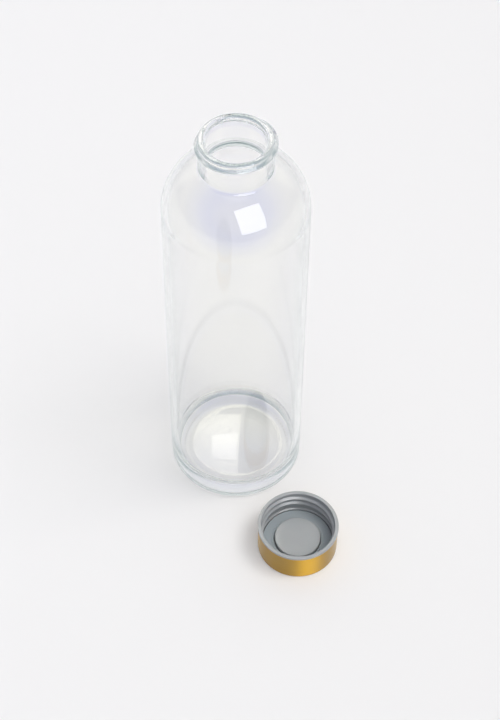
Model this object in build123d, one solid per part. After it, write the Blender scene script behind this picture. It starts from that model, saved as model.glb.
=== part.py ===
from build123d import *
from math import acos, atan2, ceil, cos, degrees, radians, sin, tau
import os

# A half-litre-and-a-bit glass water bottle with a straight body, a round shoulder and a short threaded neck.
# Its screw cap lies upside down on the table beside it: a gold metal shell on a grey plastic threaded liner,
# with a silicone sealing ring inside. Millimetres, +Z up. The origin is the centre of the bottle's foot.

# glass body
body_radius = 35.0
wall_top = 189.3  # height where the straight wall ends and the shoulder begins
wall_thickness = 3.0
shoulder_radius = 30.2
heel_radius = 4.0
floor_heel_radius = 9.0  # the thick glass inside the heel
push_up = 3.5  # how far the middle of the foot is raised
foot_thickness = 5.0  # glass in the middle of the foot
floor_edge = 6.5  # height of the floor where it would meet the wall
bearing_width = 4.0  # the flat ring that the bottle stands on

# foot stipple: a ring of short moulded notches, so that the foot doesn't slide or check
stipple_count = 84
stipple_width = 1.1
stipple_depth = 0.35
stipple_inset = 1.5  # how far the notches reach into the bearing ring

# neck finish, of the usual 38 mm single-start kind
neck_radius = 17.5
neck_height = 16.9  # from where the shoulder meets the neck to the lip
bore_radius = 14.25
neck_fillet = 2.0
throat_fillet = 2.0
lip_rounding = 1.3

# the screw thread that the neck and the liner share
pitch = 4.23
thread_fade = 50.0  # degrees over which each end of a ridge rises out of its wall
fade_height = 0.08  # share of the ridge's height left at its very end
fade_width = 0.5
ridge_root = 0.35  # how deep a ridge is rooted in its wall
ridge_step = 15.0  # degrees between the sections of a ridge

neck_ridge_height = 1.4
neck_ridge_base = 3.0
neck_ridge_crest = 0.9
neck_ridge_high = 1.4  # from the lip down to the middle of the ridge's upper end
neck_ridge_low = 6.7  # and of its lower end
neck_ridge_start = -20.0  # bearing of the lower end, in degrees

liner_ridge_engagement = 1.0  # how far the liner's ridge reaches past the crest of the neck's ridge
liner_ridge_base = 2.2
liner_ridge_crest = 0.8
liner_ridge_rise = 2.5  # from the boss's face to the middle of the ridge's inner end
liner_ridge_inset = 2.6  # from the cap's rim to the middle of its outer end
liner_ridge_start = 0.0

# cap
cap_height = 17.86
shell_thickness = 0.45
shell_corner = 1.0
liner_wall = 1.1
liner_crown = 1.3
liner_corner = 0.8
flange_height = 0.95
flange_overhang = 0.27  # how far the liner's flange stands proud of the shell
flange_rounding = 0.3
boss_radius = 12.0
boss_height = 3.85  # above the seal's seat
boss_rounding = 0.5
boss_wall = 1.2
crown_lift = 0.8  # hollow under the liner's crown
seat_step = 0.7  # how much narrower the liner is round the seal
seat_depth = 2.35
rib_count = 6
rib_thickness = 0.9
rib_hub_radius = 2.2
seal_thickness = 1.5
seal_bead = 0.4
seal_bead_width = 1.0
seal_rounding = 0.3

# clearances and places
thread_clearance = 0.3  # from the crest of the neck's ridge to the liner's wall
shell_clearance = 0.05
seal_boss_clearance = 0.3
seal_wall_clearance = 0.4
cap_gap = 14.75  # between the standing bottle and the cap on the table
cap_bearing = -59.2  # direction from the bottle to the cap, in degrees from +X
cutter_spare = 1.0  # how far a cutting shape runs past what it cuts

# derived sizes
inner_radius = body_radius - wall_thickness
shoulder_centre = body_radius - shoulder_radius
inner_shoulder_radius = shoulder_radius - wall_thickness
neck_ridge_radius = neck_radius + neck_ridge_height
bearing_outer = body_radius - heel_radius
bearing_inner = bearing_outer - bearing_width


def height_on_shoulder(radius, arc_radius):
    """Height where an arc about the shoulder's centre comes in to a radius."""
    return wall_top + arc_radius * sin(acos((radius - shoulder_centre) / arc_radius))


neck_foot = height_on_shoulder(neck_radius, shoulder_radius)
throat = height_on_shoulder(bore_radius, inner_shoulder_radius)
lip_height = neck_foot + neck_height

liner_radius = neck_ridge_radius + thread_clearance
liner_ridge_height = thread_clearance + liner_ridge_engagement
liner_outer = liner_radius + liner_wall
shell_inner = liner_outer + shell_clearance
shell_radius = shell_inner + shell_thickness
cap_radius = shell_radius + flange_overhang
shell_height = cap_height - flange_height
crown_under = shell_thickness + crown_lift
seat_height = crown_under + liner_crown
seat_radius = liner_radius - seat_step
boss_top = seat_height + boss_height
seal_inner = boss_radius + seal_boss_clearance
seal_outer = seat_radius - seal_wall_clearance
seal_top = seat_height + seal_thickness
cap_distance = body_radius + cap_radius + cap_gap
cap_place = (cap_distance * cos(radians(cap_bearing)), cap_distance * sin(radians(cap_bearing)), 0)


def rounded(face, corners):
    """A flat profile with each (radius, height) corner rounded."""
    for corner, rounding in corners:
        nearest = min(face.vertices(), key=lambda v: (Vector(*v) - Vector(*corner)).length)
        face = fillet(nearest, rounding)
    return face


def turned(face):
    """A profile of radius and height, turned about the vertical axis."""
    return revolve(Plane.XZ * face, Axis.Z)


def ridge_section(angle, rise, root_radius, height, base, crest, strength):
    """One cross-section of a thread ridge. A negative height points at the axis."""
    outwards = 1 if height > 0 else -1
    width = fade_width + (1 - fade_width) * strength
    foot = root_radius - outwards * ridge_root
    tip = root_radius + height * strength
    outline = Polyline(
        (foot, -base * width / 2),
        (tip, -crest * width / 2),
        (tip, crest * width / 2),
        (foot, base * width / 2),
        close=True,
    )
    bearing = radians(angle)
    upright = Plane(
        origin=(0, 0, rise),
        x_dir=(cos(bearing), sin(bearing), 0),
        z_dir=(sin(bearing), -cos(bearing), 0),
    )
    return upright * make_face(outline)


def thread_ridge(root_radius, height, base, crest, start, low, high):
    """A right-handed ridge that rises out of its wall at one end and sinks into it at the other."""
    sweep = 360 * (high - low) / pitch
    steps = ceil(sweep / ridge_step)
    sections = []
    for step in range(steps + 1):
        along = sweep * step / steps
        reach = min(1, along / thread_fade, (sweep - along) / thread_fade)
        strength = fade_height + (1 - fade_height) * sin(reach * tau / 4)
        rise = low + pitch * along / 360
        sections.append(ridge_section(start + along, rise, root_radius, height, base, crest, strength))
    return loft(sections)


def bottle_profile():
    outer = make_face(
        [
            TangentArc((0, push_up), (bearing_inner, 0), tangent=(1, 0)),
            Polyline((bearing_inner, 0), (body_radius, 0), (body_radius, wall_top)),
            TangentArc((body_radius, wall_top), (neck_radius, neck_foot), tangent=(0, 1)),
            Polyline((neck_radius, neck_foot), (neck_radius, lip_height), (0, lip_height), (0, push_up)),
        ]
    )
    floor_middle = push_up + foot_thickness
    above = lip_height + cutter_spare
    inner = make_face(
        [
            TangentArc((0, floor_middle), (inner_radius, floor_edge), tangent=(1, 0)),
            Line((inner_radius, floor_edge), (inner_radius, wall_top)),
            TangentArc((inner_radius, wall_top), (bore_radius, throat), tangent=(0, 1)),
            Polyline((bore_radius, throat), (bore_radius, above), (0, above), (0, floor_middle)),
        ]
    )
    corners = [
        ((body_radius, 0), heel_radius),
        ((inner_radius, floor_edge), floor_heel_radius),
        ((neck_radius, neck_foot), neck_fillet),
        ((bore_radius, throat), throat_fillet),
        ((neck_radius, lip_height), lip_rounding),
        ((bore_radius, lip_height), lip_rounding),
    ]
    return rounded(outer - inner, corners)


def foot_stipple():
    """The notches round the outer edge of the bearing ring, as one cutting shape."""
    inner_end = bearing_outer - stipple_inset
    length = body_radius - inner_end
    notch = Box(length, stipple_width, 2 * stipple_depth)
    return [place * notch for place in PolarLocations(inner_end + length / 2, stipple_count)]


def make_glass_bottle():
    ridge = thread_ridge(
        neck_radius,
        neck_ridge_height,
        neck_ridge_base,
        neck_ridge_crest,
        neck_ridge_start,
        lip_height - neck_ridge_low,
        lip_height - neck_ridge_high,
    )
    return turned(bottle_profile()) - foot_stipple() + ridge


def make_cap_shell():
    """The drawn metal cup, crown down."""
    outline = Polyline(
        (0, 0),
        (shell_radius, 0),
        (shell_radius, shell_height),
        (shell_inner, shell_height),
        (shell_inner, shell_thickness),
        (0, shell_thickness),
        close=True,
    )
    corners = [
        ((shell_radius, 0), shell_corner),
        ((shell_inner, shell_thickness), shell_corner - shell_thickness),
    ]
    return turned(rounded(make_face(outline), corners))


def liner_profile():
    seat_shoulder = seat_height + seat_depth
    cavity_radius = boss_radius - boss_wall
    outline = Polyline(
        (0, boss_top - boss_wall),
        (cavity_radius, boss_top - boss_wall),
        (cavity_radius, crown_under),
        (liner_radius, crown_under),
        (liner_radius, shell_thickness),
        (liner_outer, shell_thickness),
        (liner_outer, shell_height),
        (cap_radius, shell_height),
        (cap_radius, cap_height),
        (liner_radius, cap_height),
        (liner_radius, seat_shoulder),
        (seat_radius, seat_shoulder - seat_step),
        (seat_radius, seat_height),
        (boss_radius, seat_height),
        (boss_radius, boss_top),
        (0, boss_top),
        close=True,
    )
    corners = [
        ((liner_outer, shell_thickness), liner_corner),
        ((cap_radius, cap_height), flange_rounding),
        ((liner_radius, cap_height), flange_rounding),
        ((boss_radius, boss_top), boss_rounding),
    ]
    return rounded(make_face(outline), corners)


def boss_ribs():
    """A hub and radial ribs in the hollow boss, which stand on the shell's crown."""
    depth = boss_top - boss_wall - shell_thickness
    length = boss_radius - boss_wall / 2
    middle = shell_thickness + depth / 2
    ribs = [
        turn * Pos(length / 2, 0, middle) * Box(length, rib_thickness, depth)
        for turn in PolarLocations(0, rib_count)
    ]
    reach = Pos(0, 0, middle) * Cylinder(length, depth)
    hub = Pos(0, 0, middle) * Cylinder(rib_hub_radius, depth)
    return (hub + ribs) & reach


def make_cap_liner():
    """The moulded insert, with its boss, flange and inside thread."""
    ridge = thread_ridge(
        liner_radius,
        -liner_ridge_height,
        liner_ridge_base,
        liner_ridge_crest,
        liner_ridge_start,
        boss_top + liner_ridge_rise,
        cap_height - liner_ridge_inset,
    )
    return turned(liner_profile()) + boss_ribs() + ridge


def make_cap_seal():
    """The flat silicone ring that the lip presses on, with a bead round its inner edge."""
    bead_top = seal_top + seal_bead
    bead_outer = seal_inner + seal_bead_width
    outline = Polyline(
        (seal_inner, seat_height),
        (seal_outer, seat_height),
        (seal_outer, seal_top),
        (bead_outer + seal_bead, seal_top),
        (bead_outer, bead_top),
        (seal_inner, bead_top),
        close=True,
    )
    corners = [((seal_outer, seal_top), seal_rounding), ((seal_inner, bead_top), seal_rounding)]
    return turned(rounded(make_face(outline), corners))


def main():
    on_table = Pos(*cap_place)
    pieces = {
        "glass_bottle": make_glass_bottle(),
        "cap_shell": on_table * make_cap_shell(),
        "cap_liner": on_table * make_cap_liner(),
        "cap_seal": on_table * make_cap_seal(),
    }
    os.makedirs("parts", exist_ok=True)
    for name, piece in pieces.items():
        export_step(piece, f"parts/{name}.step")
        print(name, round(piece.volume), "mm3", piece.bounding_box().size)


main()
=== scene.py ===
import math
import bpy
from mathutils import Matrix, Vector


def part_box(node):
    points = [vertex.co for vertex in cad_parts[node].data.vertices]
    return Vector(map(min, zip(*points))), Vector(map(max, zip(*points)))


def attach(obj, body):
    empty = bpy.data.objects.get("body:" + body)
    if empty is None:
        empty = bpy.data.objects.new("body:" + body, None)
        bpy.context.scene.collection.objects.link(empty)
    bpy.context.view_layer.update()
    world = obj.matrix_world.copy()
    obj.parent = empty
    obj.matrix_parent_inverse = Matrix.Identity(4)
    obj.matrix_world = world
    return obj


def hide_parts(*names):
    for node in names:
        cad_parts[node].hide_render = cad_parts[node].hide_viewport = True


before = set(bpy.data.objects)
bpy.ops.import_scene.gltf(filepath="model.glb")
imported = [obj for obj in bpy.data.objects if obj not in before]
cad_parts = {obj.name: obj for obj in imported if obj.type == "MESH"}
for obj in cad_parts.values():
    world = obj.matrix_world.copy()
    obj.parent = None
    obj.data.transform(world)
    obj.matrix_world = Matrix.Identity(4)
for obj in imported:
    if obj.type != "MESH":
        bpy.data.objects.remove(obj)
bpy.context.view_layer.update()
mm = 0.001
print("frame loaded")


def arc(centre, radius, start, end, pieces):
    # points of an arc in the (radius, height) plane, angles in degrees, both ends kept
    angles = [math.radians(start + (end - start) * i / pieces) for i in range(pieces + 1)]
    return [(centre[0] + radius * math.cos(a), centre[1] + radius * math.sin(a)) for a in angles]


def rows(start, end, spacing):
    # points of a straight run, split at about this spacing
    count = max(1, round(math.dist(start, end) / spacing))
    return [(start[0] + (end[0] - start[0]) * i / count, start[1] + (end[1] - start[1]) * i / count)
            for i in range(count + 1)]


def spinPiece(name, outline, steps):
    # draws the outline point by point, spins it about the upright axis and closes it
    bpy.ops.object.select_all(action="DESELECT")
    bpy.ops.mesh.primitive_plane_add(size=mm)
    piece = bpy.context.object
    piece.name = piece.data.name = name
    bpy.ops.object.mode_set(mode="EDIT")
    bpy.ops.mesh.merge(type="CENTER")
    here = (0.0, 0.0)
    for i, point in enumerate(outline):
        move = ((point[0] - here[0]) * mm, 0, (point[1] - here[1]) * mm)
        if i == 0:
            bpy.ops.transform.translate(value=move)
        elif math.dist(point, here) > 1e-6:
            bpy.ops.mesh.extrude_region_move(TRANSFORM_OT_translate={"value": move})
        here = point
    bpy.ops.mesh.select_all(action="SELECT")
    bpy.ops.mesh.spin(steps=steps, angle=math.tau, center=(0, 0, 0), axis=(0, 0, 1))
    bpy.ops.mesh.select_all(action="SELECT")
    bpy.ops.mesh.remove_doubles(threshold=mm / 500)
    bpy.ops.mesh.normals_make_consistent(inside=False)
    bpy.ops.object.mode_set(mode="OBJECT")
    return piece


def ridgeHeight(thread, bearing, height):
    # how far a thread ridge stands off its wall at one place, with soft edges
    sweep = 360 * (thread["high"] - thread["low"]) / thread["pitch"]
    along = (bearing - thread["start"]) % 360
    best = 0.0
    while along <= sweep:
        middle = thread["low"] + thread["pitch"] * along / 360
        nearEnd = min(1, along / thread["fade"], (sweep - along) / thread["fade"])
        strength = math.sin(nearEnd * math.tau / 4)
        wide = 0.5 + 0.5 * strength
        base, crest = thread["base"] * wide / 2, thread["crest"] * wide / 2
        total = 0.0
        for shift in (-0.3, -0.15, 0, 0.15, 0.3):
            off = max(0.0, abs(height - middle + shift) - crest) / (base - crest)
            total += max(0.0, thread["height"] * strength * (1 - off))
        best = max(best, total / 5)
        along += 360
    return best


def raiseThread(piece, thread):
    # pushes the ridge out of its wall, or in for a cap
    for v in piece.data.vertices:
        radius, height = math.hypot(v.co.x, v.co.y) / mm, v.co.z / mm
        if abs(radius - thread["wall"]) < 0.01 and thread["low"] - 3 < height < thread["high"] + 3:
            up = ridgeHeight(thread, math.degrees(math.atan2(v.co.y, v.co.x)), height)
            grown = (radius + thread["side"] * up) / radius
            v.co.x *= grown
            v.co.y *= grown


def finishPiece(piece, place, sharpest=40):
    # to its place in the frame, smooth where it is round, with its object at the origin
    bpy.ops.object.select_all(action="DESELECT")
    piece.select_set(True)
    bpy.context.view_layer.objects.active = piece
    piece.location = place
    bpy.ops.object.transform_apply(location=True, rotation=True, scale=True)
    bpy.ops.object.shade_smooth_by_angle(angle=math.radians(sharpest))


def toLinear(hexColour):
    parts = [int(hexColour[i:i + 2], 16) / 255 for i in (0, 2, 4)]
    return [c / 12.92 if c <= 0.04045 else ((c + 0.055) / 1.055) ** 2.4 for c in parts] + [1]


def newMaterial(name):
    material = bpy.data.materials.new(name)
    material.use_nodes = True
    material.node_tree.nodes.clear()
    return material, material.node_tree


def addNode(tree, kind, settings, links):
    node = tree.nodes.new(kind)
    for name, value in settings.items():
        if isinstance(name, str) and hasattr(node, name):
            setattr(node, name, value)
        else:
            node.inputs[name].default_value = value
    for name, source in links.items():
        tree.links.new(source, node.inputs[name])
    return node


def putOn(piece, material):
    piece.data.materials.clear()
    piece.data.materials.append(material)


bottle = {
    "radius": 35.0, "wall": 3.0, "wallTop": 189.3,
    "shoulderCentre": 4.8, "shoulderRadius": 30.2,
    "pushUp": 3.5, "footInner": 27.0, "footOuter": 31.0, "heel": 4.0,
    "floorMiddle": 8.5, "floorEdge": 6.5, "innerHeel": 9.0,
    "neck": 17.5, "bore": 14.25, "lip": 233.6, "lipRound": 1.3, "fillet": 2.0,
    "restFrom": 29.2, "restTo": 30.2, "notches": 84, "notchDepth": 0.35, "notchFrom": 29.5, "notchTo": 32.64,
    "notchColumns": 4, "threadFrom": 222.5, "row": 0.16,
}
neckThread = {"wall": 17.5, "side": 1, "height": 1.4, "base": 3.0, "crest": 0.9, "pitch": 4.23,
              "low": 226.9, "high": 232.2, "start": -20, "fade": 50}


def filletOn(arcRadius, line, fillet):
    # centre of the fillet between the shoulder's arc and an upright wall, and its end angle
    across = line + fillet - bottle["shoulderCentre"]
    reach = arcRadius + fillet
    up = math.sqrt(reach ** 2 - across ** 2)
    return (line + fillet, bottle["wallTop"] + up), math.degrees(math.atan2(up, across))


def bottleOutline():
    b = bottle
    top, centre = b["wallTop"], (b["shoulderCentre"], b["wallTop"])
    inner = b["radius"] - b["wall"]
    dome = (b["footInner"] ** 2 + b["pushUp"] ** 2) / (2 * b["pushUp"])
    points = [(r, b["pushUp"] - dome + math.sqrt(dome ** 2 - r ** 2))
              for r in (b["footInner"] * i / 12 for i in range(13))]
    points += [(b["restFrom"], 0), (b["notchFrom"], 0), (b["restTo"], 0)]
    points += arc((b["footOuter"], b["heel"]), b["heel"], -90, 0, 14)
    points += rows((b["radius"], b["heel"]), (b["radius"], top), 12)
    neckFillet, neckAngle = filletOn(b["shoulderRadius"], b["neck"], b["fillet"])
    points += arc(centre, b["shoulderRadius"], 0, neckAngle, 40)
    points += arc(neckFillet, b["fillet"], 180 + neckAngle, 180, 8)
    points += rows((b["neck"], neckFillet[1]), (b["neck"], b["threadFrom"]), 1.5)
    lipEdge = b["lip"] - b["lipRound"]
    points += rows((b["neck"], b["threadFrom"]), (b["neck"], lipEdge), b["row"])
    points += arc((b["neck"] - b["lipRound"], lipEdge), b["lipRound"], 0, 90, 8)
    points += arc((b["bore"] + b["lipRound"], lipEdge), b["lipRound"], 90, 180, 8)
    throat, throatAngle = filletOn(b["shoulderRadius"] - b["wall"], b["bore"], b["fillet"])
    points += rows((b["bore"], lipEdge), (b["bore"], throat[1]), 2)
    points += arc(throat, b["fillet"], 180, 180 + throatAngle, 8)
    points += arc(centre, b["shoulderRadius"] - b["wall"], throatAngle, 0, 40)
    bowlRise = b["floorMiddle"] - b["floorEdge"]
    bowl = (inner ** 2 + bowlRise ** 2) / (2 * bowlRise)
    bowlCentre = b["floorMiddle"] - bowl
    heelAcross = inner - b["innerHeel"]
    heelUp = bowlCentre + math.sqrt((bowl + b["innerHeel"]) ** 2 - heelAcross ** 2)
    heelEnd = math.degrees(math.atan2(bowlCentre - heelUp, -heelAcross))
    points += rows((inner, top), (inner, heelUp), 12)
    points += arc((heelAcross, heelUp), b["innerHeel"], 0, heelEnd, 16)
    last = points[-1][0]
    points += [(r, bowlCentre + math.sqrt(bowl ** 2 - r ** 2))
               for r in (last * i / 10 for i in range(9, -1, -1))]
    return points


def cutNotches(piece):
    # the moulded stipple round the foot: every other pair of columns is lifted
    b, columns = bottle, bottle["notchColumns"]
    for v in piece.data.vertices:
        radius, height = math.hypot(v.co.x, v.co.y) / mm, v.co.z / mm
        if b["notchFrom"] - 0.01 < radius < b["notchTo"] and height < b["notchDepth"]:
            column = round(math.degrees(math.atan2(v.co.y, v.co.x)) % 360 * b["notches"] * columns / 360)
            if column % columns < 2:
                v.co.z = b["notchDepth"] * mm


glassBottle = spinPiece("glassBottle", bottleOutline(), bottle["notches"] * bottle["notchColumns"])
cutNotches(glassBottle)
raiseThread(glassBottle, neckThread)
finishPiece(glassBottle, (0, 0, 0))
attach(glassBottle, "bottle")
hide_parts("glass_bottle")
print("bottle made", len(glassBottle.data.polygons))


capLow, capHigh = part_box("cap_shell")
capPlace = Vector(((capLow.x + capHigh.x) / 2, (capLow.y + capHigh.y) / 2, 0))
capSteps = 192

shell = {"radius": 20.8, "metal": 0.45, "corner": 1.0, "top": 16.91, "row": 4}
corner = (shell["radius"] - shell["corner"], shell["corner"])
shellInside = shell["radius"] - shell["metal"]
shellOutline = [(r, 0) for r in (0, 6, 12, 17)] + arc(corner, shell["corner"], -90, 0, 10)
shellOutline += rows((shell["radius"], shell["corner"]), (shell["radius"], shell["top"]), shell["row"])
shellOutline += rows((shellInside, shell["top"]), (shellInside, shell["corner"]), shell["row"])
shellOutline += arc(corner, shell["corner"] - shell["metal"], 0, -90, 8)
shellOutline += [(r, shell["metal"]) for r in (12, 6, 0)]
capShell = spinPiece("capShell", shellOutline, capSteps)
finishPiece(capShell, capPlace)
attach(capShell, "cap")
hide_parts("cap_shell")

liner = {
    "outer": 20.3, "inner": 19.2, "flange": 21.07, "flangeUnder": 16.91, "rim": 17.86, "edge": 0.3,
    "under": 0.45, "foot": 0.8, "web": 1.25, "hollow": 10.8, "seat": 2.55, "seatRadius": 18.5,
    "boss": 12.0, "bossTop": 6.4, "bossWall": 1.2, "bossEdge": 0.5, "row": 0.16,
    "rowsEnd": 5.2, "step": (18.9, 4.98), "stepRound": 0.3, "lead": (18.7, 4.1), "leadRound": 0.2,
}
linerThread = {"wall": 19.2, "side": -1, "height": 1.3, "base": 2.2, "crest": 0.8, "pitch": 4.23,
               "low": 8.9, "high": 15.26, "start": 0, "fade": 50}
n, e = liner, liner["edge"]
linerOutline = [(0, n["bossTop"] - n["bossWall"]), (n["hollow"], n["bossTop"] - n["bossWall"])]
linerOutline += [(n["hollow"], n["web"]), (n["inner"], n["web"]), (n["inner"], n["under"])]
linerOutline += arc((n["outer"] - n["foot"], n["under"] + n["foot"]), n["foot"], -90, 0, 6)
linerOutline += [(n["outer"], n["flangeUnder"]), (n["flange"], n["flangeUnder"])]
linerOutline += arc((n["flange"] - e, n["rim"] - e), e, 0, 90, 5)
linerOutline += arc((n["inner"] + e, n["rim"] - e), e, 90, 180, 5)
linerOutline += rows((n["inner"], n["rim"] - e), (n["inner"], n["rowsEnd"]), n["row"])
linerOutline += arc(n["step"], n["stepRound"], 0, -45, 3) + arc(n["lead"], n["leadRound"], 135, 180, 3)
linerOutline += [(n["seatRadius"], n["seat"]), (n["boss"], n["seat"])]
linerOutline += arc((n["boss"] - n["bossEdge"], n["bossTop"] - n["bossEdge"]), n["bossEdge"], 0, 90, 6)
linerOutline += [(r, n["bossTop"]) for r in (8, 4, 0)]
capLiner = spinPiece("capLiner", linerOutline, capSteps)
raiseThread(capLiner, linerThread)
finishPiece(capLiner, capPlace)
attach(capLiner, "cap")
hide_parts("cap_liner")

seal = {"inner": 12.3, "outer": 18.1, "seat": 2.55, "top": 4.05, "edge": 0.3,
        "bead": 0.4, "beadSide": ((13.7, 0), (13.45, 0.12), (13.3, 0.4))}
m, e = seal, seal["edge"]
sealOutline = [(m["inner"], m["seat"]), (m["outer"], m["seat"])]
sealOutline += arc((m["outer"] - e, m["top"] - e), e, 0, 90, 5)
sealOutline += [(r, m["top"] + rise) for r, rise in m["beadSide"]]
sealOutline += arc((m["inner"] + e, m["top"] + m["bead"] - e), e, 90, 180, 5)
sealOutline += [(m["inner"], m["seat"])]
capSeal = spinPiece("capSeal", sealOutline, capSteps)
finishPiece(capSeal, capPlace)
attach(capSeal, "seal")
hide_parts("cap_seal")
print("cap made", len(capLiner.data.polygons))


glassLook = {
    "index": 1.5, "waveScale": 28, "waveStretch": (1, 1, 0.35), "waveStrength": 0.12, "waveDepth": 0.6,
    "faceOn": "f1f2fa", "edgeOn": "fbfffe",
    "lustre": ((0.06, "eaecfa"), (0.138, "fdfdfc"), (0.21, "fefefb"), (0.40, "fdfdfc"), (0.60, "f8f8fb")),
    "tint": (0.45, 0.85, 0.8, 1), "tintDensity": 1.0,
    "shadow": (0.992, 0.99, 0.98, 1), "shadowEdge": (0.42, 0.44, 0.45, 1), "edgeFrom": 0.53, "edgeTo": 0.95,
    "trapped": (0.8, 0.835, 0.84, 1), "trappedAfter": 2.5,
}


def sodaLimeGlass():
    # moulded soda lime glass with a thin lustre coat: clear and slightly wavy, lilac where it faces the eye
    g = glassLook
    glass, tree = newMaterial("sodaLimeGlassLustred")
    place = addNode(tree, "ShaderNodeTexCoord", {}, {})
    drawn = addNode(tree, "ShaderNodeMapping", {"Scale": g["waveStretch"]}, {"Vector": place.outputs["Object"]})
    wave = addNode(tree, "ShaderNodeTexNoise", {"Scale": g["waveScale"], "Detail": 1.0},
                   {"Vector": drawn.outputs[0]})
    uneven = addNode(tree, "ShaderNodeBump", {"Strength": g["waveStrength"], "Distance": g["waveDepth"] * mm},
                     {"Height": wave.outputs["Fac"]})
    slant = addNode(tree, "ShaderNodeLayerWeight", {"Blend": 0.5}, {"Normal": uneven.outputs[0]})
    lustre = addNode(tree, "ShaderNodeValToRGB", {}, {"Fac": slant.outputs["Facing"]})
    ramp = lustre.color_ramp
    ramp.elements[0].color, ramp.elements[1].color = toLinear(g["faceOn"]), toLinear(g["edgeOn"])
    for position, colour in g["lustre"]:
        ramp.elements.new(position).color = toLinear(colour)
    body = addNode(tree, "ShaderNodeBsdfPrincipled", {
        "Roughness": 0.0, "IOR": g["index"], "Transmission Weight": 1.0, "Specular IOR Level": 1.0},
        {"Base Color": lustre.outputs["Color"], "Normal": uneven.outputs[0]})
    tint = addNode(tree, "ShaderNodeVolumeAbsorption", {"Color": g["tint"], "Density": g["tintDensity"]}, {})
    path = addNode(tree, "ShaderNodeLightPath", {}, {})  # lamps and trapped light go straight through
    either = addNode(tree, "ShaderNodeMath", {"operation": "MAXIMUM"},
                     {0: path.outputs["Is Shadow Ray"], 1: path.outputs["Is Diffuse Ray"]})
    deep = addNode(tree, "ShaderNodeMath", {"operation": "GREATER_THAN", 1: g["trappedAfter"]},
                   {0: path.outputs["Glossy Depth"]})
    edgeOn = addNode(tree, "ShaderNodeMapRange", {"From Min": g["edgeFrom"], "From Max": g["edgeTo"]},
                     {"Value": slant.outputs["Facing"]})
    passing = addNode(tree, "ShaderNodeMixRGB", {"Color1": g["shadow"], "Color2": g["shadowEdge"]},
                      {"Fac": edgeOn.outputs[0]})
    guided = addNode(tree, "ShaderNodeMixRGB", {"Color2": g["trapped"]},
                     {"Fac": deep.outputs[0], "Color1": passing.outputs[0]})
    lit = addNode(tree, "ShaderNodeBsdfTransparent", {}, {"Color": guided.outputs[0]})
    straight = addNode(tree, "ShaderNodeMath", {"operation": "MAXIMUM"},
                       {0: either.outputs[0], 1: deep.outputs[0]})
    mix = addNode(tree, "ShaderNodeMixShader", {},
                  {0: straight.outputs[0], 1: body.outputs[0], 2: lit.outputs[0]})
    addNode(tree, "ShaderNodeOutputMaterial", {},
            {"Surface": mix.outputs[0], "Volume": tint.outputs[0]})
    return glass


goldLook = {
    "colour": "b48c14", "lineScale": (20, 20, 3500), "smoothest": 0.46, "roughest": 0.58,
    "lineStrength": 0.25, "lineDepth": 0.02, "brushing": 0.9, "quarterTurn": 0.25, "seal": 0.8, "sealRough": 0.16,
}


def goldAluminium():
    # drawn aluminium, brushed round the cap and anodised gold: a satin band that streaks up and down
    g = goldLook
    gold, tree = newMaterial("anodisedAluminiumGold")
    place = addNode(tree, "ShaderNodeTexCoord", {}, {})
    middle = addNode(tree, "ShaderNodeMapping", {"Location": (-capPlace.x, -capPlace.y, 0)},
                     {"Vector": place.outputs["Object"]})
    # drawn out level, and coarser than real lines so that they show
    lines = addNode(tree, "ShaderNodeMapping", {"Scale": g["lineScale"]}, {"Vector": middle.outputs[0]})
    grain = addNode(tree, "ShaderNodeTexNoise", {"Scale": 1.0, "Detail": 2.0}, {"Vector": lines.outputs[0]})
    rough = addNode(tree, "ShaderNodeMapRange", {"To Min": g["smoothest"], "To Max": g["roughest"]},
                    {"Value": grain.outputs["Fac"]})
    bump = addNode(tree, "ShaderNodeBump", {"Strength": g["lineStrength"], "Distance": g["lineDepth"] * mm},
                   {"Height": grain.outputs["Fac"]})
    around = addNode(tree, "ShaderNodeTangent", {"direction_type": "RADIAL", "axis": "Z"}, {})
    metal = addNode(tree, "ShaderNodeBsdfPrincipled", {
        "Base Color": toLinear(g["colour"]), "Metallic": 1.0, "Anisotropic": g["brushing"],
        "Anisotropic Rotation": g["quarterTurn"], "Coat Weight": g["seal"], "Coat Roughness": g["sealRough"]},
        {"Roughness": rough.outputs[0], "Normal": bump.outputs[0], "Tangent": around.outputs[0]})
    addNode(tree, "ShaderNodeOutputMaterial", {}, {"Surface": metal.outputs[0]})
    return gold


linerLook = {"colours": ("9da0a1", "a5a7a6"), "roughness": 0.24, "grainSize": 0.25}
sealLook = {"colours": ("9aa2a5", "a1a9ac"), "roughness": 0.5, "grainSize": 0.4}
plastic = {"index": 1.49, "roughSpread": 0.06, "grainStrength": 0.15, "grainDepth": 0.03, "cloudScale": 90,
           "soft": 0.05, "softDepth": 1.0}


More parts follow.
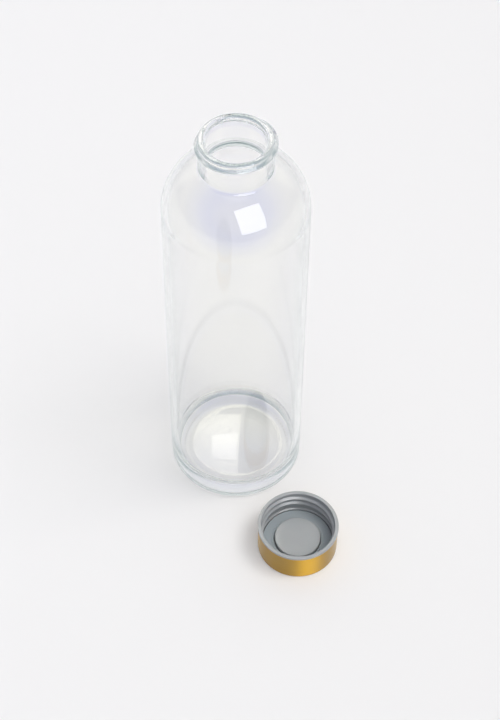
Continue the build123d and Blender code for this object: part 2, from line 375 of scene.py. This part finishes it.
def mouldedPlastic(name, look):
    # injection moulded and slightly waxy, with a fine spark-eroded grain
    moulded, tree = newMaterial(name)
    place = addNode(tree, "ShaderNodeTexCoord", {}, {})
    grain = addNode(tree, "ShaderNodeTexNoise", {"Scale": 1 / (look["grainSize"] * mm), "Detail": 2.0},
                    {"Vector": place.outputs["Object"]})
    rough = addNode(tree, "ShaderNodeMapRange", {"To Min": look["roughness"] - plastic["roughSpread"],
                    "To Max": look["roughness"] + plastic["roughSpread"]}, {"Value": grain.outputs["Fac"]})
    bump = addNode(tree, "ShaderNodeBump", {"Strength": plastic["grainStrength"],
                   "Distance": plastic["grainDepth"] * mm}, {"Height": grain.outputs["Fac"]})
    cloud = addNode(tree, "ShaderNodeTexNoise", {"Scale": plastic["cloudScale"], "Detail": 1.0},
                    {"Vector": place.outputs["Object"]})
    first, second = (toLinear(colour) for colour in look["colours"])
    shade = addNode(tree, "ShaderNodeMixRGB", {"Color1": first, "Color2": second}, {"Fac": cloud.outputs["Fac"]})
    body = addNode(tree, "ShaderNodeBsdfPrincipled", {
        "IOR": plastic["index"], "Subsurface Weight": plastic["soft"],
        "Subsurface Scale": plastic["softDepth"] * mm},
        {"Base Color": shade.outputs[0], "Roughness": rough.outputs[0], "Normal": bump.outputs[0]})
    addNode(tree, "ShaderNodeOutputMaterial", {}, {"Surface": body.outputs[0]})
    return moulded


putOn(glassBottle, sodaLimeGlass())
putOn(capShell, goldAluminium())
putOn(capLiner, mouldedPlastic("polypropyleneGrey", linerLook))
putOn(capSeal, mouldedPlastic("siliconeGrey", sealLook))
print("materials made")


studio = {
    "table": 14.0, "tableShade": "dddcda", "tableGlow": 0.14, "counterLampTilt": (-0.25, 0.1, 0.0), "tiltMost": 0.15,
    "mainAim": (0, 0, 0.2), "mainTurn": -59, "mainSteep": 60, "mainFar": 3.0,
    "mainWide": 2.15, "mainTall": 2.5, "mainBright": 1.7, "glintRise": 36, "glintBright": 6.3,
    "keyPlace": (1.2, -0.1, 2.2), "keySize": 1.0, "keyBright": 7.2, "keyColour": (1.0, 0.985, 0.95),
    "backPlace": (-0.6, 1.62, 2.6), "backWide": 1.08, "backTall": 1.4, "backBright": 4.3,
    "backColour": (1.0, 0.97, 0.86), "firstOnly": 1.5,
    "sides": "a7a9b6", "backdrop": "f0f0f0", "backFrom": 0.42, "backTo": 0.54,
    "ceiling": 1.0, "overFrom": 0.93, "overTo": 0.97,
}


def softbox(name, place, aim, wide, tall, bright):
    # an area light whose face has this radiance, turned to its aim
    bpy.ops.object.light_add(type="AREA", location=place)
    lamp = bpy.context.object
    lamp.name = name
    lamp.data.shape = "RECTANGLE"
    lamp.data.size, lamp.data.size_y = wide, tall
    lamp.data.energy = bright * wide * tall * math.pi
    lamp.rotation_euler = (Vector(place) - Vector(aim)).to_track_quat("Z", "Y").to_euler()
    return lamp


s = studio
bpy.ops.object.select_all(action="DESELECT")
bpy.ops.mesh.primitive_plane_add(size=s["table"])
table = bpy.context.object
table.name = "table"
paper, tree = newMaterial("paleTable")
spot = addNode(tree, "ShaderNodeTexCoord", {}, {})
# painted counter-shade: the table's colour is graded darker towards the lamps at the front right and lighter
# towards the back left, cancelling the lamps' falloff so the floor reads evenly bright; the grade is clamped
paintedFalloffGrade = addNode(tree, "ShaderNodeVectorMath", {"operation": "DOT_PRODUCT", 1: s["counterLampTilt"]},
               {0: spot.outputs["Object"]})
even = addNode(tree, "ShaderNodeMapRange", {
    "From Min": -s["tiltMost"], "From Max": s["tiltMost"],
    "To Min": 1 - s["tiltMost"], "To Max": 1 + s["tiltMost"]}, {"Value": paintedFalloffGrade.outputs["Value"]})
shade = addNode(tree, "ShaderNodeVectorMath", {"operation": "SCALE", 0: toLinear(s["tableShade"])[:3]},
                {"Scale": even.outputs[0]})
face = addNode(tree, "ShaderNodeBsdfPrincipled", {
    "Roughness": 0.9, "Specular IOR Level": 0.0, "Emission Color": (1, 1, 1, 1),
    "Emission Strength": s["tableGlow"]}, {"Base Color": shade.outputs[0]})
addNode(tree, "ShaderNodeOutputMaterial", {}, {"Surface": face.outputs[0]})
putOn(table, paper)


def showOnce(lamp):
    # a reflection shows this lamp, and a reflection of a reflection doesn't, so the heel's inside stays calm
    lamp.data.use_nodes = True
    tree = lamp.data.node_tree
    path = addNode(tree, "ShaderNodeLightPath", {}, {})
    once = addNode(tree, "ShaderNodeMath", {"operation": "LESS_THAN", 1: s["firstOnly"]},
                   {0: path.outputs["Glossy Depth"]})
    tree.links.new(once.outputs[0], tree.nodes["Emission"].inputs["Strength"])


def lampPlace(rise):
    # a place this high above the table, on the main light's bearing
    turn, rise = math.radians(s["mainTurn"]), math.radians(rise)
    towards = Vector((math.cos(turn) * math.cos(rise), math.sin(turn) * math.cos(rise), math.sin(rise)))
    return Vector(s["mainAim"]) + towards * s["mainFar"]


main = softbox("mainSoftbox", lampPlace(s["mainSteep"]), s["mainAim"],
               s["mainWide"], s["mainTall"], s["mainBright"])
main.visible_glossy = main.visible_transmission = False  # lights the table, and shows in nothing
glint = softbox("glintSoftbox", lampPlace(s["glintRise"]), s["mainAim"],
                s["mainWide"], s["mainTall"], s["glintBright"])
glint.visible_diffuse = glint.visible_transmission = False  # only the gloss sees this one
showOnce(glint)
key = softbox("keySoftbox", s["keyPlace"], (0, 0, 0), s["keySize"], s["keySize"], s["keyBright"])
key.visible_glossy = key.visible_transmission = False
key.data.color = s["keyColour"]
back = softbox("backSoftbox", s["backPlace"], (s["backPlace"][0], 0, 0),
               s["backWide"], s["backTall"], s["backBright"])
back.data.color = s["backColour"]
back.visible_diffuse = False
showOnce(back)

world = bpy.data.worlds.new("studioRoom")
bpy.context.scene.world = world
world.use_nodes = True
tree = world.node_tree
way = addNode(tree, "ShaderNodeTexCoord", {}, {})
parts = addNode(tree, "ShaderNodeSeparateXYZ", {}, {0: way.outputs["Generated"]})
behind = addNode(tree, "ShaderNodeMapRange", {
    "interpolation_type": "SMOOTHSTEP", "From Min": s["backFrom"], "From Max": s["backTo"]},
                 {"Value": parts.outputs["Y"]})
walls = addNode(tree, "ShaderNodeMixRGB", {"Color1": toLinear(s["sides"]), "Color2": toLinear(s["backdrop"])},
                {"Fac": behind.outputs[0]})
over = addNode(tree, "ShaderNodeMapRange", {
    "interpolation_type": "SMOOTHSTEP", "From Min": s["overFrom"], "From Max": s["overTo"]},
               {"Value": parts.outputs["Z"]})
room = addNode(tree, "ShaderNodeMixRGB", {"Color2": (s["ceiling"],) * 3 + (1,)},
               {"Fac": over.outputs[0], "Color1": walls.outputs[0]})
tree.links.new(room.outputs[0], tree.nodes["Background"].inputs["Color"])

bpy.context.scene.view_settings.view_transform = "Standard"

camera = {"place": (35.126, -546.752, 769.426), "turn": -2.922, "down": 51.69, "roll": 0.617, "lens": 85.8}
bpy.ops.object.camera_add(location=[v * mm for v in camera["place"]])
eye = bpy.context.object
eye.name = "camera"
yaw, down, roll = (math.radians(camera[k]) for k in ("turn", "down", "roll"))
ahead = Vector((math.sin(yaw) * math.cos(down), math.cos(yaw) * math.cos(down), -math.sin(down)))
level = Vector((math.cos(yaw), -math.sin(yaw), 0))
above = level.cross(ahead)
right = math.cos(roll) * level + math.sin(roll) * above
up = -math.sin(roll) * level + math.cos(roll) * above
turned = bpy.context.object.matrix_world.to_3x3()
turned.col[0], turned.col[1], turned.col[2] = right, up, -ahead
eye.rotation_euler = turned.to_euler()
eye.data.lens, eye.data.sensor_width = camera["lens"], 36
eye.data.clip_end = 50
bpy.context.scene.camera = eye
print("studio made")
